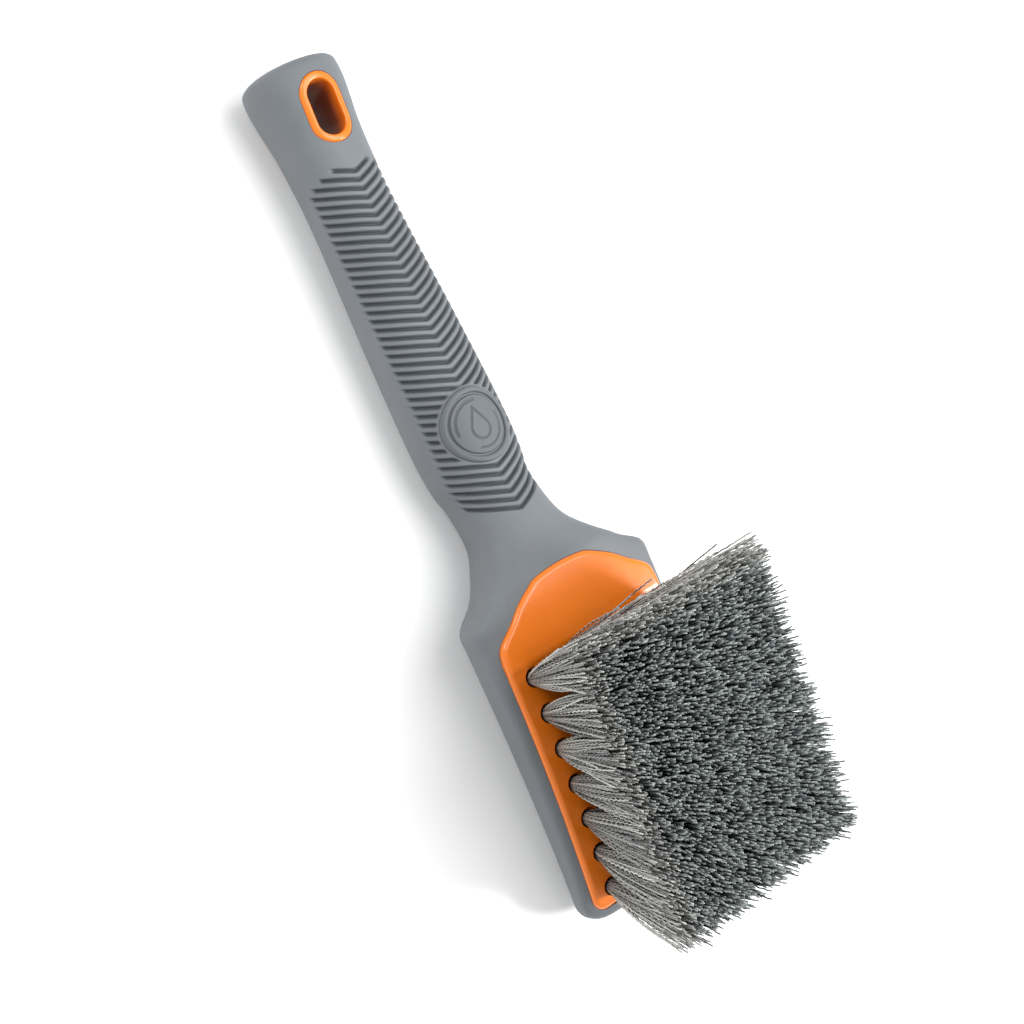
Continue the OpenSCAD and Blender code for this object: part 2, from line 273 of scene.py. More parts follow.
def through(x, knots):
    """Smooth curve through knots (place, value), the slope at a knot taken from its neighbours."""
    k = np.asarray(knots, float)
    kx, kv = k[:, 0], k[:, 1]
    slope = (np.append(kv[1:], kv[-1]) - np.insert(kv[:-1], 0, kv[0])) \
        / (np.append(kx[1:], kx[-1]) - np.insert(kx[:-1], 0, kx[0]))
    x = np.clip(x, kx[0], kx[-1])
    i = np.clip(np.searchsorted(kx, x, side="right") - 1, 0, len(kx) - 2)
    w = kx[i + 1] - kx[i]
    t = (x - kx[i]) / w
    return hermite(kv[i], kv[i + 1], slope[i] * w, slope[i + 1] * w, t)


class Shape:
    """Sizes in millimetres, in stations counted from the handle end."""

    def __init__(self, scene):
        for group in (scene.wheelbrush_grip, scene.wheelbrush_head, scene.wheelbrush_tufts):
            for name, prop in group.bl_rna.properties.items():
                if prop.type == "INT":
                    setattr(self, name, getattr(group, name))
                elif prop.type == "FLOAT":
                    value = getattr(group, name)
                    setattr(self, name, value if prop.subtype == "ANGLE" else value / MM)
        self.hole_r = self.hole_d / 2
        self.core_hw = (self.rows - 1) / 2 * self.pitch_w + self.hole_r + self.side_land
        self.core_l = self.heel_land + (self.cols - 1) * self.pitch_l + self.hole_r + self.toe_land
        self.head_hw = self.core_hw + self.rim_w
        self.head_l = self.core_l + self.rim_w
        self.face_x = self.overall_l - self.head_l
        self.face_r = self.head_l / (math.sin(self.toe_tilt) - math.sin(self.heel_tilt))
        self.neck_x = self.face_x - self.neck_gap
        self.palm_x = self.face_x - self.palm_gap
        self.badge_x = self.face_x - self.badge_gap
        self.field_x = self.face_x + self.heel_land + (self.cols - 1) / 2 * self.pitch_l
        # The toe end of the CAD grip gives the place of the brush along X
        self.rest_x = self.overall_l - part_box("overmould")[1].x / MM
        self.make_knots()

    def make_knots(self):
        """Knots (station, value) of the half width, the half depth and the rise from handle to head."""
        bx, wx, px, nx, fx = self.butt_x, self.waist_x, self.palm_x, self.neck_x, self.face_x
        bw, ww, pw, nw, hw = self.butt_w / 2, self.waist_w / 2, self.palm_w / 2, self.neck_w / 2, self.head_hw
        bh, wh, ph = self.butt_h / 2, self.waist_h / 2, self.palm_h / 2
        self.flank = [
            (0, bw - 0.4), (bx, bw), (mix(bx, wx, 0.42), mix(bw, ww, 0.8)), (wx, ww),
            (mix(wx, px, 0.55), mix(ww, pw, 0.67)), (px, pw), (mix(px, nx, 0.6), mix(pw, nw, 0.32)), (nx, nw),
            (fx - 0.5 * self.neck_gap, mix(nw, hw, 0.02)), (fx - 0.2 * self.neck_gap, mix(nw, hw, 0.26)),
            (fx + 2, mix(nw, hw, 0.61)), (fx + 6.5, mix(nw, hw, 0.96)), (fx + 12, hw),
            (self.overall_l, hw - 0.4)]
        self.depth = [
            (0, bh - 0.4), (bx, bh), (mix(bx, wx, 0.42), mix(bh, wh, 0.76)), (wx, wh), (px, ph),
            (nx, ph - 0.2)]
        self.rise = [(nx - 4, 0), (nx + 4, 0.2), (fx - 7, 0.62), (fx, 1)]

    def face_z(self, x):
        """Height of the arched face of the head."""
        s = math.sin(self.heel_tilt) + (x - self.face_x) / self.face_r
        return self.heel_z + self.face_r * (np.sqrt(1 - np.clip(s, -0.9, 0.9)**2) - math.cos(self.heel_tilt))

    def trim_z(self, x):
        """Height of the trimmed tips."""
        return self.face_z(self.field_x) + self.trim_h - (x - self.field_x) * math.tan(self.trim_tilt)

    def axis_z(self, x):
        return self.butt_h / 2 - (x - self.butt_x) * math.tan(self.handle_lean)

    def section(self, x):
        """Half width, middle height, upper and lower half depth and their powers at stations x."""
        x = np.asarray(x, float)
        rise = through(x, self.rise)
        depth = through(x, self.depth)
        rim = self.face_z(x) - self.rim_drop
        top = mix(self.axis_z(x) + depth, rim, rise)
        mid = mix(self.axis_z(x), rim - self.rim_depth, rise)
        low = mix(self.axis_z(x) - depth, -self.back_flat, rise)
        dome = (1 - (1 - np.clip(x / self.butt_dome, 0, 1))**DOME_POWER)**(1 / DOME_POWER)
        toe = self.overall_l - x

        def off(r):
            return r - np.sqrt(np.maximum(0, r**2 - np.clip(r - toe, 0, r)**2))
        half = dome * (through(x, self.flank) - off(self.toe_r))
        up = dome * (top - mid - off(0.5 * self.rim_w))
        down = dome * (mid - low - off(self.toe_round))
        power_up, power_down = mix(HANDLE_POWER, HEAD_POWER, rise), mix(HANDLE_POWER, UNDER_POWER, rise)
        return half, mid, up, down, power_up, power_down

    def skin_z(self, x, y, grow=0.0, under=False):
        """Height of the grip's surface over the point (x, y), grown outwards."""
        half, mid, up, down, p_up, p_down = self.section(x)
        p = p_down if under else p_up
        d = (down if under else up) + grow
        span = np.maximum(0, 1 - np.abs(y / (half + grow))**p)**(1 / p)
        return mid - d * span if under else mid + d * span

    def hole(self, c, r):
        """Place of the hole in column c and row r."""
        x = self.face_x + self.heel_land + (c - 1) * self.pitch_l
        return x, (r - (self.rows + 1) / 2) * self.pitch_w

    def places(self):
        return [(c, r) for c in range(1, self.cols + 1) for r in range(1, self.rows + 1)]

    def bell_half(self):
        """Half outline of the core's face, from the heel to the corner of the toe."""
        bell = np.array(BELL)
        out = []
        for i in range(len(bell) - 1):
            a, b, c, d = bell[max(i - 1, 0)], bell[i], bell[i + 1], bell[min(i + 2, len(bell) - 1)]
            s0 = np.array([0, c[1]]) if i == 0 else (c - a) / 2
            out += [hermite(b, c, s0, (d - b) / 2, t) for t in np.arange(0, 0.99, 1 / BELL_STEPS)]
        out = [(p[0] * self.bell_l, p[1] * self.core_hw) for p in out]
        r = self.toe_r - self.rim_w
        out += [(x, self.core_hw) for x in np.linspace(self.bell_l, self.core_l - r, SIDE_ROWS)[:-1]]
        out += [(self.core_l - r * (1 - math.sin(t)), self.core_hw - r * (1 - math.cos(t)))
                for t in np.linspace(0, math.pi / 2, CORNER_STEPS)]
        return np.array(out)


# Mesh building

def to_frame(points, shape):
    return (np.asarray(points, float) - (shape.rest_x, 0, 0)) * MM


def new_piece(name, points, quads, tris, shape):
    """A mesh object from points in stations (mm) and arrays of four- and three-sided faces."""
    quads = np.asarray(quads, np.int32).reshape(-1, 4)
    tris = np.asarray(tris, np.int32).reshape(-1, 3)
    mesh = bpy.data.meshes.new(name)
    mesh.vertices.add(len(points))
    mesh.vertices.foreach_set("co", to_frame(points, shape).astype(np.float32).ravel())
    loops = np.concatenate((quads.ravel(), tris.ravel()))
    mesh.loops.add(len(loops))
    mesh.loops.foreach_set("vertex_index", loops)
    starts = np.concatenate((np.arange(len(quads)) * 4, len(quads) * 4 + np.arange(len(tris)) * 3))
    mesh.polygons.add(len(starts))
    mesh.polygons.foreach_set("loop_start", starts.astype(np.int32))
    mesh.update(calc_edges=True)
    mesh.validate()
    piece = bpy.data.objects.new(name, mesh)
    bpy.context.scene.collection.objects.link(piece)
    return piece


def new_solid(*parts):
    """A closed piece, its faces turned outwards."""
    piece = new_piece(*parts)
    bm = bmesh.new()
    bm.from_mesh(piece.data)
    bmesh.ops.recalc_face_normals(bm, faces=bm.faces)
    bm.to_mesh(piece.data)
    bm.free()
    return piece


def smooth_shading(piece, sharp):
    """Smooth shading with edges sharper than an angle in degrees kept."""
    piece.data.polygons.foreach_set("use_smooth", np.ones(len(piece.data.polygons), bool))
    piece.data.set_sharp_from_angle(angle=math.radians(sharp))
    piece.data.update()


def tube_faces(n, m, first=0):
    """Quads between n rings of m points each."""
    i, j = np.meshgrid(np.arange(n - 1), np.arange(m), indexing="ij")
    a, b = i * m + j, i * m + (j + 1) % m
    return np.stack((a, b, b + m, a + m), -1).reshape(-1, 4) + first


def turns(count):
    return np.arange(count) / count * FULL_TURN


def fan(first, count, centre, back=False):
    """Triangles from a ring of points to a middle point."""
    this = np.arange(count) + first
    after = np.roll(this, -1)
    pair = (after, this) if back else (this, after)
    return np.column_stack((*pair, np.full(count, centre)))


def cut(piece, cutters):
    """Cuts the cutters out of the piece, and removes them."""
    for cutter in cutters:
        mod = piece.modifiers.new("cut", "BOOLEAN")
        mod.operation = "DIFFERENCE"
        mod.solver = "EXACT"
        mod.object = cutter
        bpy.context.view_layer.update()
        whole = piece.evaluated_get(bpy.context.evaluated_depsgraph_get())
        mesh = bpy.data.meshes.new_from_object(whole)
        before = len(piece.data.polygons)
        piece.modifiers.clear()
        piece.data = mesh
        if len(mesh.polygons) < before * LEAST_LEFT:
            raise RuntimeError(f"cutting {cutter.name} out of {piece.name} failed")
    for cutter in cutters:
        bpy.data.objects.remove(cutter)


def arched_block(name, shape, levels, across=22, fold=0.0):
    """Solid with the core's outline, closed, through levels (drawn in by, height over the face)."""
    half = shape.bell_half()
    n = len(half)
    side = np.linspace(1, -1, across + 1)[1:-1]
    toe = np.array([(half[-1][0], half[-1][1] * s) for s in side])
    ring = np.vstack((half, toe, half[::-1][:-1] * (1, -1)))
    tangent = np.roll(ring, -1, 0) - np.roll(ring, 1, 0)
    normal = np.stack((tangent[:, 1], -tangent[:, 0]), -1) / np.linalg.norm(tangent, axis=1)[:, None]
    # The outline runs from the heel along +Y, so the other side of its run is outward
    normal = -normal
    m = len(ring)

    def lay(q, h):
        x = shape.face_x + q[:, 0]
        step = fold * smooth(shape.heel_land - FOLD_FROM, shape.heel_land - FOLD_TO, q[:, 0])
        return np.stack((x, q[:, 1], shape.face_z(x) + h - step), -1)
    points = [lay(ring - normal * d, h) for d, h in levels]
    faces = list(tube_faces(len(levels), m))
    tris = []
    total = m * len(levels)
    for level, up in ((0, False), (len(levels) - 1, True)):
        d, h = levels[level]
        q = ring - normal * d
        base = level * m
        rows = []
        for i in range(1, n):
            left, right = base + i, base + (m - i)
            if i == n - 1:
                rows.append([base + n - 1 + k for k in range(across + 1)])
                continue
            inner = np.array([mix(q[i], q[m - i], (k + 1) / across) for k in range(across - 1)])
            points.append(lay(inner, h))
            rows.append([left] + list(range(total, total + across - 1)) + [right])
            total += across - 1
        for k in range(across):
            tri = (base, rows[0][k], rows[0][k + 1])
            tris.append(tri if not up else tri[::-1])
        for a, b in zip(rows, rows[1:]):
            for k in range(across):
                quad = (a[k], b[k], b[k + 1], a[k + 1])
                faces.append(quad if not up else quad[::-1])
    return new_solid(name, np.vstack(points), faces, tris, shape)


def stadium(length, width, count=28):
    """Round-ended outline about the origin, with its outward normals."""
    straight = (length - width) / 2
    a = np.linspace(-math.pi / 2, math.pi / 2, count)
    right = np.stack((straight + width / 2 * np.cos(a), width / 2 * np.sin(a)), -1)
    normal = np.stack((np.cos(a), np.sin(a)), -1)
    along = np.linspace(straight, -straight, 8)[1:-1]
    top = np.stack((along, np.full(6, width / 2)), -1)
    up = np.tile((0.0, 1.0), (6, 1))
    return np.vstack((right, top, -right, -top)), np.vstack((normal, up, -normal, -up))


def slot_cutter(shape, grow):
    """Upright bar with the outline of the hang slot, grown outwards."""
    ring, _ = stadium(shape.slot_l + 2 * grow, shape.slot_w + 2 * grow)
    m = len(ring)
    points = [np.column_stack((ring[:, 0] + shape.slot_x, ring[:, 1], np.full(m, z)))
              for z in (CUT_LOW, CUT_HIGH)]
    points += [np.array([(shape.slot_x, 0, CUT_LOW), (shape.slot_x, 0, CUT_HIGH)])]
    tris = np.vstack((fan(0, m, 2 * m, True), fan(m, m, 2 * m + 1)))
    return new_solid("slot_room", np.vstack(points), tube_faces(2, m), tris, shape)


def add_shade(piece, name, values):
    """A value at each point, for a material to read."""
    layer = piece.data.attributes.new(name, "FLOAT", "POINT")
    layer.data.foreach_set("value", np.asarray(values, np.float32))


# Materials

class Surface:
    """A principled material with small helpers for its procedural parts."""

    def __init__(self, name, roughness, specular=0.5):
        self.material = bpy.data.materials.new(name)
        self.material.use_nodes = True
        self.tree = self.material.node_tree
        self.shader = self.tree.nodes["Principled BSDF"]
        self.put(self.shader.inputs["Roughness"], roughness)
        self.put(self.shader.inputs["Specular IOR Level"], specular)
        self.place = self.node("TexCoord").outputs["Object"]

    def put(self, socket, value):
        """Links an output to the socket, or sets a plain value on it."""
        if isinstance(value, bpy.types.NodeSocket):
            self.tree.links.new(value, socket)
        else:
            socket.default_value = value

    def node(self, kind, **inputs):
        node = self.tree.nodes.new("ShaderNode" + kind)
        for key, value in inputs.items():
            self.put(node.inputs[key.replace("_", " ")], value)
        return node

    def noise(self, scale, detail=3.0, stretch=None):
        source = self.place
        if stretch is not None:
            source = self.node("Mapping", Scale=stretch, Vector=source).outputs["Vector"]
        return self.node("TexNoise", Scale=scale, Detail=detail, Vector=source).outputs["Fac"]

    def attribute(self, name):
        node = self.node("Attribute")
        node.attribute_name = name
        return node.outputs["Fac"]

    def ramp(self, source, stops):
        node = self.node("ValToRGB", Fac=source)
        ramp = node.color_ramp
        while len(ramp.elements) < len(stops):
            ramp.elements.new(0.5)
        for element, (place, rgb) in zip(ramp.elements, stops):
            element.position = place
            element.color = (*rgb, 1.0)
        return node.outputs["Color"]

    def blend(self, factor, a, b, mode="MIX"):
        node = self.node("Mix")
        node.data_type = "RGBA"
        node.blend_type = mode
        sockets = {s.identifier: s for s in node.inputs}
        self.put(sockets["Factor_Float"], factor)
        for key, value in (("A_Color", a), ("B_Color", b)):
            self.put(sockets[key], (*value, 1.0) if isinstance(value, tuple) else value)
        return {s.identifier: s for s in node.outputs}["Result_Color"]

    def colour(self, source):
        self.put(self.shader.inputs["Base Color"], source)

    def roughness(self, source, low, high):
        node = self.node("MapRange", To_Min=low, To_Max=high, Value=source)
        self.put(self.shader.inputs["Roughness"], node.outputs["Result"])

    def bump(self, source, strength, distance):
        node = self.node("Bump", Strength=strength, Distance=distance, Height=source)
        self.put(self.shader.inputs["Normal"], node.outputs["Normal"])


def scaled(rgb, f):
    return tuple(min(1.0, c * f) for c in rgb)


def finish(piece, make, colours):
    """Gives the piece the material named like its maker, made when it isn't there yet."""
    name = make.__name__
    piece.data.materials.clear()
    piece.data.materials.append(bpy.data.materials.get(name) or make(name, colours))


def soft_grip_finish(name, colours):
    """Matt thermoplastic rubber: slight clouding, fine grain, and painted shade in the grooves and over the
    badge.
    """
    s = Surface(name, roughness=0.55, specular=0.45)
    grip = tuple(colours.grip)
    clouds = s.ramp(s.noise(scale=45, detail=4), [(0.3, scaled(grip, 0.93)), (0.7, scaled(grip, 1.06))])
    grain = s.ramp(s.noise(scale=2600, detail=2), [(0.25, (0.9, 0.9, 0.9)), (0.75, (1.0, 1.0, 1.0))])
    body = s.blend(1.0, clouds, grain, "MULTIPLY")
    # Painted shade: the groove colour is mixed in by the groove depth, standing in for the shade at the
    # groove bottoms
    s.colour(s.blend(s.attribute("groove"), body, tuple(colours.groove)))
    s.roughness(s.noise(scale=900), low=0.52, high=0.68)
    s.bump(s.noise(scale=3200), strength=0.25, distance=0.12 * MM)
    return s.material


def hard_core_finish(name, colours):
    """Glossy moulded polypropylene: faint flow clouding, an almost even sheen, and painted shade deep in the
    slot.
    """
    s = Surface(name, roughness=0.24)
    core = tuple(colours.core)
    flow = s.noise(scale=60, detail=4, stretch=(1.0, 0.5, 1.0))
    clouds = s.ramp(flow, [(0.3, scaled(core, 0.92)), (0.7, scaled(core, 1.05))])
    # Painted shade: a dark purple-brown inside the hang slot, where shade falls
    s.colour(s.blend(s.attribute("deep"), clouds, (core[0] * 0.2, core[1] * 0.3, core[2] + 0.02)))
    s.roughness(s.noise(scale=420, detail=4), low=0.18, high=0.3)
    s.bump(s.noise(scale=700), strength=0.06, distance=0.1 * MM)
    s.put(s.shader.inputs["Coat Weight"], 0.15)
    s.put(s.shader.inputs["Coat Roughness"], 0.12)
    return s.material


def bristle_finish(name, colours):
    """Crimped filament: each has its own grey, with painted shade at the root and the very tip, and cooler,
    darker painted shade inside the field and deep below its trimmed face.
    """
    s = Surface(name, roughness=0.42)
    light, dark = tuple(colours.bristle), tuple(colours.bristle_dark)
    own = s.ramp(s.attribute("shade"), [(0.0, dark), (0.6, light), (1.0, scaled(light, 1.5))])
    # Painted shade: darker towards the root, where the tuft shades itself, and dimmed at the very tip to tone
    # down the lit ends
    along = s.ramp(s.attribute("along"), [
        (0.0, (0.62, 0.6, 0.58)), (0.4, (0.95, 0.94, 0.92)), (0.96, (1.0, 1.0, 1.0)), (1.0, (0.8, 0.8, 0.8))])
    own = s.blend(1.0, own, along, "MULTIPLY")
    # Painted shade: filaments inside the field are darker and bluer than the lit outer ones
    inner_shade = s.ramp(s.attribute("inner"), [(0.0, (1.0, 1.0, 0.985)), (1.0, (0.74, 0.81, 0.82))])
    own = s.blend(1.0, own, inner_shade, "MULTIPLY")
    # Painted shade deep below the trimmed face, inside the field, standing in for occlusion
    s.colour(s.blend(s.attribute("deep"), own, scaled(dark, 0.42)))
    s.roughness(s.noise(scale=500, detail=2), low=0.34, high=0.5)
    return s.material


def anchor_wire_finish(name, colours):
    """Galvanised flat wire with a fine draw grain."""
    s = Surface(name, roughness=0.35)
    wire = tuple(colours.wire)
    s.put(s.shader.inputs["Metallic"], 1.0)
    drawn = (1.0, 0.08, 1.0)
    s.colour(s.ramp(s.noise(scale=1500, stretch=drawn), [(0.3, scaled(wire, 0.75)), (0.7, wire)]))
    s.roughness(s.noise(scale=2500, detail=2, stretch=drawn), low=0.28, high=0.45)
    return s.material


def studio_floor(name, colours):
    """Matt pale paper with the faintest clouding."""
    s = Surface(name, roughness=0.75, specular=0.15)
    floor = tuple(colours.floor)
    s.colour(s.ramp(s.noise(scale=3, detail=2), [(0.35, scaled(floor, 0.995)), (0.65, floor)]))
    return s.material


# Pieces

def section_table(shape, stations, count):
    """Points of the sections at the stations, evenly spaced round from the top line, and their girths."""
    a = np.linspace(0, FULL_TURN, FINE_STEPS) + math.pi / 2
    half, mid, up, down, p_up, p_down = (v[:, None] for v in shape.section(stations))
    c, s = np.cos(a)[None, :], np.sin(a)[None, :]
    p = np.where(s >= 0, p_up, p_down)
    y = -half * np.sign(c) * np.abs(c)**(2 / p)
    z = mid + np.where(s >= 0, up, down) * np.sign(s) * np.abs(s)**(2 / p)
    run = np.concatenate((np.zeros((len(stations), 1)), np.cumsum(np.hypot(np.diff(y), np.diff(z)), 1)), 1)
    share = np.arange(count) / count
    ys = np.array([np.interp(share * r[-1], r, v) for r, v in zip(run, y)])
    zs = np.array([np.interp(share * r[-1], r, v) for r, v in zip(run, z)])
    return ys, zs, run[:, -1]


def grip_rows(shape):
    """Row places along the grip: close on the ends and over each groove."""
    rows = [shape.butt_dome * (1 - (1 - np.array(DOME_ROWS)**DOME_POWER)**(1 / DOME_POWER))]
    first, pitch = shape.groove_first, shape.groove_pitch
    last = first + (shape.groove_count - 1) * pitch
    rows.append(np.arange(shape.butt_dome + 0.2, first - 1.4, ROW_STEP))
    steps = np.array(GROOVE_ROWS) * pitch
    rows.append((first + np.arange(shape.groove_count)[:, None] * pitch + steps[None, :]).ravel())
    rows.append(np.arange(last + pitch, shape.overall_l - shape.toe_r - 0.4, ROW_STEP))
    rows.append(shape.overall_l - shape.toe_r * (1 - np.cos(np.linspace(math.pi / 2, 0, TOE_ROWS))))
    return np.concatenate(rows)


def groove_field(shape, xi, s, x, y):
    """Depth of the grooves, 0 to 1, over the sheared grid."""
    pitch = shape.groove_pitch
    k = np.clip(np.round((xi - shape.groove_first) / pitch), 0, shape.groove_count - 1)
    t = np.abs(xi - shape.groove_first - k * pitch)
    half = shape.groove_w / 2
    depth = 1 - smooth(GROOVE_FLOOR, half, t)
    reach = shape.groove_arc * np.interp(k, range(len(FIRST_REACHES)), FIRST_REACHES)
    depth = depth * (1 - smooth(reach - 1.1, reach + 0.1, s))
    away = np.hypot(x - shape.badge_x, y)
    return depth * smooth(shape.badge_d / 2 + 0.35, shape.badge_d / 2 + 1.0, away)


def build_overmould(shape, colours):
    """The soft grip: a grid of sections sheared along the chevrons, with the grooves pressed in."""
    count = GRIP_COLUMNS
    rows = grip_rows(shape)
    even = np.arange(shape.butt_dome, shape.overall_l - shape.toe_r, TABLE_STEP)
    table_x = np.unique(np.concatenate((rows, even)))
    ys, zs, girth = section_table(shape, table_x, count)
    column = np.arange(count)
    share = np.minimum(column, count - column) / count
    xi = rows[:, None] * np.ones(count)[None, :]
    s = share[None, :] * np.interp(rows, table_x, girth)[:, None]
    last = shape.groove_first + shape.groove_count * shape.groove_pitch
    fade = smooth(8, shape.groove_first - 2, rows) * (1 - smooth(last + 0.5, last + 30, rows))
    reach = shape.groove_arc + 1.5
    swept = np.minimum(s, reach + 2)
    shear = CHEVRON_SLOPE * (np.sqrt(swept**2 + CHEVRON_NOSE**2) - CHEVRON_NOSE)
    x = xi - fade[:, None] * shear
    x = np.clip(x, rows[0], shape.overall_l)
    y = np.stack([np.interp(x[:, j], table_x, ys[:, j]) for j in range(count)], 1)
    z = np.stack([np.interp(x[:, j], table_x, zs[:, j]) for j in range(count)], 1)
    points = np.stack((x, y, z), -1)
    along = np.gradient(points, axis=0)
    around = np.roll(points, -1, 1) - np.roll(points, 1, 1)
    normal = np.cross(around, along)
    normal /= np.maximum(np.linalg.norm(normal, axis=2, keepdims=True), 1e-9)
    middle = np.stack((x, np.zeros_like(y), np.broadcast_to(shape.axis_z(x), x.shape)), -1)
    # One row of the handle tells which way the normals point
    probe = 60
    if np.sum(normal[probe] * (points - middle)[probe]) < 0:
        normal = -normal
    groove = groove_field(shape, xi, s, x, y)
    points = points - normal * (groove * shape.groove_depth)[..., None]
    # The back is flat: nothing reaches below the floor, with a soft edge
    soft = 0.7
    z = points[..., 2]
    points[..., 2] = (z + np.sqrt(z**2 + soft**2)) / 2
    flat = points.reshape(-1, 3)
    n = len(rows)
    # Both ends close with rings drawn in to a middle point
    faces = [tube_faces(n, count)]
    extra, tris = [], []
    total = n * count
    for row, bulge in ((0, 0.0), (n - 1, 0.25)):
        ring = points[row]
        centre = ring.mean(0)
        previous = np.arange(count) + row * count
        for f in (0.86, 0.62, 0.34):
            inner = mix(centre, ring, f) + (bulge * (1 - f) if row else 0.0, 0, 0)
            extra.append(inner)
            current = np.arange(count) + total
            total += count
            faces.append(np.stack((previous, np.roll(previous, -1), np.roll(current, -1), current), -1))
            previous = current
        extra.append((centre + (bulge if row else 0.0, 0, 0))[None, :])
        tris.append(fan(previous[0], count, total))
        total += 1
    flat = np.vstack((flat, *extra))
    grip = new_solid("soft_grip", flat, np.vstack(faces), np.vstack(tris), shape)
    depth = np.concatenate((groove.ravel(), np.zeros(len(flat) - groove.size)))
    tree = KDTree(len(flat))
    for i, p in enumerate(to_frame(flat, shape)):
        tree.insert(p, i)
    tree.balance()
    levels = [(-BOND, -shape.core_t - BOND), (-BOND, -3.0), (-BOND, 20)]
    pocket = arched_block("pocket", shape, levels)
    cut(grip, [pocket, slot_cutter(shape, shape.slot_wall + BOND)])
    # The groove depth also lays painted shade into the grooves
    add_shade(grip, "groove", [depth[tree.find(v.co)[1]] for v in grip.data.vertices])
    smooth_shading(grip, 38)
    finish(grip, soft_grip_finish, colours)
    return grip


def drop_distance(u, v):
    """Signed distance to a water drop that points along +v."""
    lean = math.asin(DROP_R / (DROP_TIP - DROP_LOW))
    circle = np.hypot(u, v - DROP_LOW) - DROP_R
    side = np.abs(u) * math.cos(lean) - (DROP_TIP - v) * math.sin(lean)
    return np.where(v > DROP_LOW + DROP_R * math.sin(lean), side, circle)


def badge_height(shape, r, a):
    """Height of the badge's relief over the grip at radius r and angle a."""
    edge = shape.badge_d / 2
    off = np.clip((np.abs(r - (edge - BADGE_RIM)) / BADGE_RIM), 0, 1)
    rim = shape.badge_rise * np.sqrt(np.maximum(0, 1 - off**BADGE_RIM_POWER))
    field = BADGE_FIELD * (1 - smooth(edge - 2.75, edge - 2.35, r))
    h = np.where(r > edge - 1.9, rim, field)
    u, v = r * np.sin(a), -r * np.cos(a)
    mark = 1 - smooth(0.2, 0.42, np.abs(drop_distance(u, v)))
    near_in = smooth(-0.05, 0.05, np.cos(a - math.radians(40)) - 0.45)
    near_out = smooth(-0.05, 0.05, np.cos(a - math.radians(222)) - 0.55)
    arc_in = (1 - smooth(0.16, 0.34, np.abs(r - ARC_IN_R))) * near_in
    arc_out = (1 - smooth(0.3, 0.6, np.abs(r - ARC_OUT_R))) * near_out
    return h - MARK_DEPTH * np.maximum(mark, np.maximum(arc_in, arc_out)) * (r < edge - 2.8)


def build_badge(shape, colours):
    """The badge: a relief disc over the grip's surface, with a skirt sunk into it."""
    edge = shape.badge_d / 2
    radii = np.concatenate((np.linspace(0.15, edge - 2.9, 46), np.linspace(edge - 2.78, edge, 22)))
    count = 176
    a = turns(count)
    rr, aa = np.meshgrid(radii, a, indexing="ij")
    x, y = shape.badge_x + rr * np.cos(aa), rr * np.sin(aa)
    h = badge_height(shape, rr, aa)
    z = shape.skin_z(x, y, h)
    points = [np.stack((x, y, z), -1).reshape(-1, 3)]
    skirt = np.stack((x[-1], y[-1], shape.skin_z(x[-1], y[-1], -0.6)), -1)
    base = np.stack((x[0], y[0], shape.skin_z(x[0], y[0], -0.6)), -1)
    n = len(radii)
    points += [skirt, base, np.array([points[0][:count].mean(0)]), np.array([base.mean(0)])]
    end = (n + 2) * count
    tris = np.vstack((fan(0, count, end), fan(end - count, count, end + 1, True)))
    badge = new_solid("grip_badge", np.vstack(points), tube_faces(n + 2, count), tris, shape)
    low = np.clip((BADGE_FIELD - h) / BADGE_FIELD, 0, 1).ravel()
    # Painted shade: the badge is darkened throughout, and more where its relief lies below the field, as in
    # the sunk mark
    add_shade(badge, "groove", np.concatenate((BADGE_SHADE + low * 0.5, np.full(2 * count + 2, BADGE_SHADE))))
    smooth_shading(badge, 60)
    finish(badge, soft_grip_finish, colours)
    return badge


def hole_cutters(shape):
    """Chamfered tuft holes, as one mesh of separate plugs."""
    r = shape.hole_r
    profile = [(PIN, -shape.hole_depth), (r, -shape.hole_depth)]
    profile += [(r + out, z) for out, z in CHAMFER]
    profile += [(PIN, CHAMFER[-1][1])]
    count = 28
    a = turns(count)
    points, quads, tris = [], [], []
    for c, row in shape.places():
        hx, hy = shape.hole(c, row)
        top = shape.face_z(hx) - shape.fold_h
        first = sum(len(p) for p in points)
        for pr, pz in profile:
            px, py = hx + pr * np.cos(a), hy + pr * np.sin(a)
            points.append(np.column_stack((px, py, np.full(count, top + pz))))
        quads.append(tube_faces(len(profile), count, first))
        n = first + len(profile) * count
        points.append(np.array([(hx, hy, top + profile[0][1]), (hx, hy, top + profile[-1][1])]))
        end = first + (len(profile) - 1) * count
        tris += [fan(first, count, n, True), fan(end, count, n + 1)]
    return new_solid("hole_room", np.vstack(points), np.vstack(quads), np.vstack(tris), shape)


def build_core_head(shape, colours):
    """The head block of the core, with rounded edges and chamfered holes."""
    r = shape.core_round
    turn = np.linspace(0, math.pi / 2, 10)
    levels = [(0, -shape.core_t), (0, -shape.core_t * 0.5), (0, -r - 0.6)]
    levels += [(r * (1 - math.cos(t)), r * (math.sin(t) - 1)) for t in turn]
    head = arched_block("core_head", shape, levels, 40, shape.fold_h)
    cut(head, [hole_cutters(shape)])
    smooth_shading(head, 32)
    finish(head, hard_core_finish, colours)
    return head


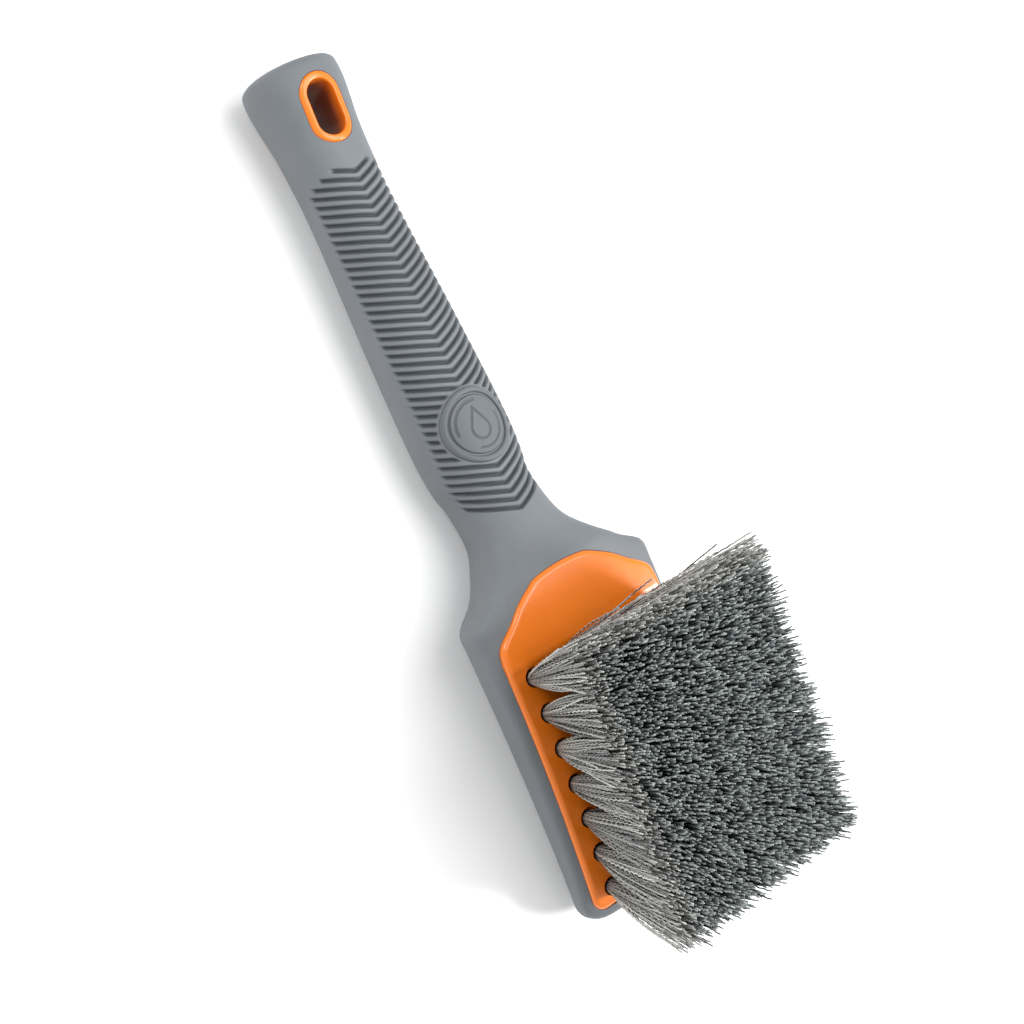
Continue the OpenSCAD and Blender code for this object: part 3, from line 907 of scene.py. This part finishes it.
def build_slot_liner(shape, colours):
    """The liner of the hang slot: a wall with a rolled lip above and below."""
    ring, normal = stadium(shape.slot_l, shape.slot_w)
    wall, lip = shape.slot_wall, LIP
    turn = np.linspace(0, math.pi / 2, 7)
    over = [(lip * (1 - math.sin(t)), lip * (1 - math.cos(t))) for t in turn[::-1]]
    top = over + [(wall - o, d) for o, d in over[::-1]]
    layers = []

    def grown(o):
        return shape.slot_x + ring[:, 0] + normal[:, 0] * o, ring[:, 1] + normal[:, 1] * o

    def lay(o, z):
        return np.column_stack((*grown(o), z))

    def surface(o, under):
        z = shape.skin_z(*grown(o), shape.slot_rim, under)
        return np.maximum(z, 0.05) if under else z
    for o, d in top:
        layers.append(lay(o, surface(o, False) - (lip - d if d > lip else d)))
    layers.append(lay(wall, surface(wall, False) - LINER_SHOULDER))
    layers.append(lay(wall, surface(wall, True) + LINER_SHOULDER))
    for o, d in top[::-1]:
        layers.append(lay(o, surface(o, True) + d))
    low, high = layers[-1][:, 2], layers[0][:, 2]
    for f in (0.2, 0.4, 0.6, 0.8):
        layers.append(lay(0, mix(low, high, f)))
    layers.append(layers[0])
    n, m = len(layers) - 1, len(ring)
    quads = tube_faces(len(layers), m)
    quads = np.where(quads >= n * m, quads - n * m, quads)
    liner = new_solid("slot_liner", np.vstack(layers[:-1]), quads, [], shape)
    heights = np.concatenate([layer[:, 2] for layer in layers[:-1]])
    top_z = np.tile(layers[0][:, 2], n)
    # Painted shade deep inside the slot, fading in from both openings
    add_shade(liner, "deep", 0.9 * smooth(0.35, 4.0, np.minimum(top_z - heights, heights + 1.0)))
    smooth_shading(liner, 50)
    finish(liner, hard_core_finish, colours)
    return liner


def build_core_rod(shape, colours):
    """The part of the core inside the grip, from the hang slot to under the head."""
    count = 40
    a = turns(count)
    x0, x1 = shape.slot_x + shape.slot_l / 2 + shape.slot_wall * 0.6, shape.face_x + ROD_REACH
    stations = np.linspace(x0, x1, 24)
    radius = np.interp(stations, [x0, shape.face_x], [ROD_END_R, ROD_HEAD_R])
    rings = [np.column_stack((np.full(count, x), r * np.cos(a), shape.axis_z(x) + r * np.sin(a)))
             for x, r in zip(stations, radius)]
    n = len(rings)
    rings.append(np.array([(x0, 0, shape.axis_z(x0)), (x1, 0, shape.axis_z(x1))]))
    tris = np.vstack((fan(0, count, n * count, True), fan((n - 1) * count, count, n * count + 1)))
    rod = new_solid("core_rod", np.vstack(rings), tube_faces(n, count), tris, shape)
    smooth_shading(rod, 40)
    finish(rod, hard_core_finish, colours)
    return rod


def disc_to_square(u, v):
    """Even spread over the unit disc for points of the square from -1 to 1."""
    big = np.abs(u) > np.abs(v)
    r = np.where(big, u, v)
    with np.errstate(divide="ignore", invalid="ignore"):
        wide, tall = np.nan_to_num(v / u), np.nan_to_num(u / v)
        phi = np.where(big, math.pi / 4 * wide, math.pi / 2 - math.pi / 4 * tall)
    return r * np.cos(phi), r * np.sin(phi)


def build_tuft(shape, c, row, rng, colours):
    """One tuft: filaments that fan out from the hole to the trimmed face, each crimped and bowed a little."""
    n = shape.filaments
    hx, hy = shape.hole(c, row)
    u0, v0 = c - (shape.cols + 1) / 2, row - (shape.rows + 1) / 2
    cell_l = shape.pitch_l + 2 * shape.flare_l / shape.cols
    cell_w = shape.pitch_w + 2 * shape.flare_w / shape.rows
    side = math.ceil(math.sqrt(n))
    gu, gv = np.meshgrid((np.arange(side) + 0.5) / side * 2 - 1, (np.arange(side) + 0.5) / side * 2 - 1)
    pick = rng.permutation(side * side)[:n]
    u = gu.ravel()[pick] + rng.uniform(-1, 1, n) / side
    v = gv.ravel()[pick] + rng.uniform(-1, 1, n) / side
    du, dv = disc_to_square(np.clip(u, -1, 1), np.clip(v, -1, 1))
    root_r = shape.hole_r - ROOT_GAP
    root = np.stack((hx + du * root_r, hy + dv * root_r), -1)
    # Tips mingle with the neighbours', but keep to the trimmed outline outside
    ends_l = (u0 == -(shape.cols - 1) / 2, u0 == (shape.cols - 1) / 2)
    ends_w = (v0 == -(shape.rows - 1) / 2, v0 == (shape.rows - 1) / 2)
    stray = rng.random(n) < STRAY_SHARE

    def spread(t, ends):
        grow = np.where(t < 0, 1.0 if ends[0] else MINGLE, 1.0 if ends[1] else MINGLE)
        outer = ((t < 0) & ends[0]) | ((t > 0) & ends[1])
        return t * np.where(outer & stray, rng.uniform(*STRAY_REACH, n), grow)
    out_x = spread(u, ends_l) * cell_l / 2
    out_y = spread(v, ends_w) * cell_w / 2
    tip_x = hx + u0 * (cell_l - shape.pitch_l) + out_x + rng.normal(0, TIP_SCATTER, n)
    tip_y = hy + v0 * (cell_w - shape.pitch_w) + out_y + rng.normal(0, TIP_SCATTER, n)
    # The trimmed face is a little ragged, domes over each tuft, and rounds off at the strays
    over = np.maximum(np.abs(out_x) - cell_l * 0.5, 0) + np.maximum(np.abs(out_y) - cell_w * 0.5, 0)
    dome = TIP_DOME * (u**2 + v**2) / 2
    ragged = TIP_RAGGED * rng.random(n)**2
    tip_z = shape.trim_z(tip_x) + TIP_LIFT - ragged - dome - STRAY_DROP * over
    low = shape.face_z(hx) - ROOT_DEPTH
    length = tip_z - low
    knees = int(shape.trim_h / (shape.crimp_l / 2)) + 2
    t = np.linspace(0, 1, knees)[None, :]
    f = np.clip((t * (length[:, None]) - ROOT_DEPTH) / (length[:, None] - ROOT_DEPTH), 0, 1)**FAN_POWER
    path = np.empty((n, knees, 3))
    path[..., 0] = mix(root[:, :1], tip_x[:, None], f)
    path[..., 1] = mix(root[:, 1:], tip_y[:, None], f)
    path[..., 2] = low + t * length[:, None]
    turn = rng.uniform(0, FULL_TURN, n)
    zigzag = np.where(np.arange(knees) % 2, 1.0, -1.0)[None, :]
    wave = zigzag * shape.crimp_h * rng.uniform(0.7, 1.15, (n, 1))
    wave = wave * smooth(0.04, 0.16, t) * (1 - 0.5 * smooth(0.7, 1.0, t))
    path[..., 0] += np.cos(turn)[:, None] * wave
    path[..., 1] += np.sin(turn)[:, None] * wave
    bow = rng.uniform(-BOW, BOW, (n, 1)) * np.sin(math.pi * t)
    across = rng.uniform(0, FULL_TURN, n)
    path[..., 0] += np.cos(across)[:, None] * bow
    path[..., 1] += np.sin(across)[:, None] * bow
    path[..., :2] += np.cumsum(rng.normal(0, WANDER, (n, knees, 2)), 1) * smooth(0.0, 0.6, t)[..., None]
    sides = FILAMENT_SIDES
    corner = turns(sides)
    r = shape.filament_d / 2 * FILAMENT_FILL
    spin = turn[:, None] + corner[None, :]
    ring = np.stack((np.cos(spin), np.sin(spin), np.zeros_like(spin)), -1) * r
    points = path[:, :, None, :] + ring[:, None, :, :]
    idx = np.arange(n * knees * sides).reshape(n, knees, sides)
    a, b = idx[:, :-1], idx[:, 1:]
    quads = np.stack((a, np.roll(a, -1, 2), np.roll(b, -1, 2), b), -1).reshape(-1, 4)
    tris = np.vstack((idx[:, -1], idx[:, 0][:, ::-1]))
    tuft = new_piece(f"bristles_{c}_{row}", points.reshape(-1, 3), quads, tris, shape)
    own = np.clip(rng.normal(0.42, 0.27, n), 0, 1)
    add_shade(tuft, "shade", np.repeat(own, knees * sides))
    add_shade(tuft, "along", np.repeat(np.broadcast_to(t, (n, knees)).ravel(), sides))
    # How far a tip stands inside the heel's and the side's edge of the field
    from_heel, from_side = tip_x - (shape.field_x - shape.cols * cell_l / 2), tip_y + shape.rows * cell_w / 2
    inner = smooth(2.5, 11.0, np.minimum(from_heel, from_side))[:, None]
    # Painted shade deep in the field: below the trimmed face and away from the heel and side edges
    under = smooth(0.3, 6.5, shape.trim_z(path[..., 0]) - path[..., 2])
    add_shade(tuft, "deep", np.repeat((inner * under).ravel(), sides))
    # How far inside the field a filament stands, which sets its painted shade
    add_shade(tuft, "inner", np.repeat(np.broadcast_to(inner, (n, knees)).ravel(), sides))
    finish(tuft, bristle_finish, colours)
    return tuft


# Operators

class BrushOperator:
    bl_options = {"REGISTER", "UNDO"}

    def parts(self, context):
        return Shape(context.scene), context.scene.wheelbrush_colours


class WHEELBRUSH_OT_overmould(BrushOperator, bpy.types.Operator):
    """Build the soft ribbed grip that wraps the handle and the head"""
    bl_idname = "wheelbrush.overmould"
    bl_label = "Soft Grip"

    def execute(self, context):
        grip = build_overmould(*self.parts(context))
        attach(grip, "root")
        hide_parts("overmould")
        return {"FINISHED"}


class WHEELBRUSH_OT_badge(BrushOperator, bpy.types.Operator):
    """Build the round badge on the grip"""
    bl_idname = "wheelbrush.badge"
    bl_label = "Badge"

    def execute(self, context):
        badge = build_badge(*self.parts(context))
        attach(badge, "root")
        return {"FINISHED"}


class WHEELBRUSH_OT_core(BrushOperator, bpy.types.Operator):
    """Build the hard core: its head block, its rod and the liner of the hang slot"""
    bl_idname = "wheelbrush.core"
    bl_label = "Hard Core"

    def execute(self, context):
        shape, colours = self.parts(context)
        for build in (build_core_head, build_slot_liner, build_core_rod):
            piece = build(shape, colours)
            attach(piece, "root")
            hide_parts("core")
        return {"FINISHED"}


class WHEELBRUSH_OT_tufts(BrushOperator, bpy.types.Operator):
    """Build the tufts of crimped filament"""
    bl_idname = "wheelbrush.tufts"
    bl_label = "Tufts"

    def execute(self, context):
        shape, colours = self.parts(context)
        rng = np.random.default_rng(SEED)
        for c, row in shape.places():
            tuft = build_tuft(shape, c, row, rng, colours)
            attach(tuft, "root")
            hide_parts(f"tuft_{c}_{row}")
        return {"FINISHED"}


class WHEELBRUSH_OT_anchors(BrushOperator, bpy.types.Operator):
    """Give the CAD anchors their drawn wire finish"""
    bl_idname = "wheelbrush.anchors"
    bl_label = "Anchors"

    def execute(self, context):
        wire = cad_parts["tuft_anchors"]
        finish(wire, anchor_wire_finish, context.scene.wheelbrush_colours)
        return {"FINISHED"}


# Where the camera stands and how it is turned, in the part's frame
VIEW_RIGHT = Vector((0.434, 0.765, 0.476))
VIEW_AHEAD = Vector((0.084, 0.492, -0.866))
VIEW_AIM = Vector((-65.9, 2.9, 16.6)) * MM
VIEW_DISTANCE = 484.5 * MM
VIEW_LENS = 59.77

# Studio: half width of the floor, light from all round, and the lamps (name, place, width, watts)
FLOOR_REACH = 3.0
WORLD_LIGHT = 0.68
LAMPS = (
    ("overhead", (-0.1, 0.25, 1.0), 0.8, 7.0),
    ("left", (-0.8, -0.6, 0.6), 0.45, 4.5),
    ("right", (0.55, 0.75, 0.8), 0.35, 13.0),
)
LAMP_AIM = (0, 0, 0.02)


class WHEELBRUSH_OT_stage(BrushOperator, bpy.types.Operator):
    """Lay a pale floor with soft studio light, and set up the camera"""
    bl_idname = "wheelbrush.stage"
    bl_label = "Stage"

    def execute(self, context):
        scene = context.scene
        ground = CAD_BOX[0][2]
        mesh = bpy.data.meshes.new("floor")
        corners = ((-1, -1), (1, -1), (1, 1), (-1, 1))
        points = [(FLOOR_REACH * x, FLOOR_REACH * y, ground) for x, y in corners]
        mesh.from_pydata(points, [], [(0, 1, 2, 3)])
        floor = bpy.data.objects.new("floor", mesh)
        scene.collection.objects.link(floor)
        finish(floor, studio_floor, context.scene.wheelbrush_colours)
        world = bpy.data.worlds.new("studio")
        scene.world = world
        world.use_nodes = True
        background = world.node_tree.nodes["Background"]
        background.inputs["Color"].default_value = (1.0, 1.0, 1.0, 1.0)
        background.inputs["Strength"].default_value = WORLD_LIGHT
        scene.view_settings.view_transform = "Standard"
        for lamp in LAMPS:
            self.light(scene, *lamp)
        camera = bpy.data.cameras.new("camera")
        camera.lens = VIEW_LENS
        camera.clip_start = 0.01
        eye = bpy.data.objects.new("camera", camera)
        ahead = VIEW_AHEAD.normalized()
        right = (VIEW_RIGHT - ahead * VIEW_RIGHT.dot(ahead)).normalized()
        up = right.cross(ahead)
        turn = Matrix((right, up, -ahead)).transposed()
        eye.matrix_world = Matrix.Translation(VIEW_AIM - ahead * VIEW_DISTANCE) @ turn.to_4x4()
        scene.collection.objects.link(eye)
        scene.camera = eye
        return {"FINISHED"}

    def light(self, scene, name, place, width, power):
        lamp = bpy.data.lights.new(name, "AREA")
        lamp.shape = "DISK"
        lamp.size = width
        lamp.energy = power
        obj = bpy.data.objects.new(name, lamp)
        obj.location = place
        obj.rotation_euler = (Vector(LAMP_AIM) - Vector(place)).to_track_quat("-Z", "Y").to_euler()
        scene.collection.objects.link(obj)


STEPS = (
    WHEELBRUSH_OT_stage, WHEELBRUSH_OT_overmould, WHEELBRUSH_OT_badge, WHEELBRUSH_OT_core,
    WHEELBRUSH_OT_tufts, WHEELBRUSH_OT_anchors,
)


class WHEELBRUSH_PT_panel(bpy.types.Panel):
    bl_idname = "WHEELBRUSH_PT_panel"
    bl_label = "Wheel Brush"
    bl_space_type = "VIEW_3D"
    bl_region_type = "UI"
    bl_category = "Wheel Brush"

    def draw(self, context):
        for name in ("grip", "head", "tufts", "colours"):
            group = getattr(context.scene, f"wheelbrush_{name}")
            box = self.layout.box()
            box.label(text=name.capitalize())
            for key in group.bl_rna.properties.keys():
                if key not in ("rna_type", "name"):
                    box.prop(group, key)
        for step in STEPS:
            self.layout.operator(step.bl_idname, text=step.bl_label)


GROUPS = {
    "grip": WHEELBRUSH_PG_grip, "head": WHEELBRUSH_PG_head, "tufts": WHEELBRUSH_PG_tufts,
    "colours": WHEELBRUSH_PG_colours,
}


def register():
    for cls in (*GROUPS.values(), *STEPS, WHEELBRUSH_PT_panel):
        bpy.utils.register_class(cls)
    for name, cls in GROUPS.items():
        setattr(bpy.types.Scene, f"wheelbrush_{name}", PointerProperty(type=cls))


def unregister():
    for name in GROUPS:
        delattr(bpy.types.Scene, f"wheelbrush_{name}")
    for cls in (WHEELBRUSH_PT_panel, *reversed(STEPS), *reversed(list(GROUPS.values()))):
        bpy.utils.unregister_class(cls)


def main():
    register()
    for step in STEPS:
        group, name = step.bl_idname.split(".")
        getattr(getattr(bpy.ops, group), name)()


if __name__ == "__main__":
    main()
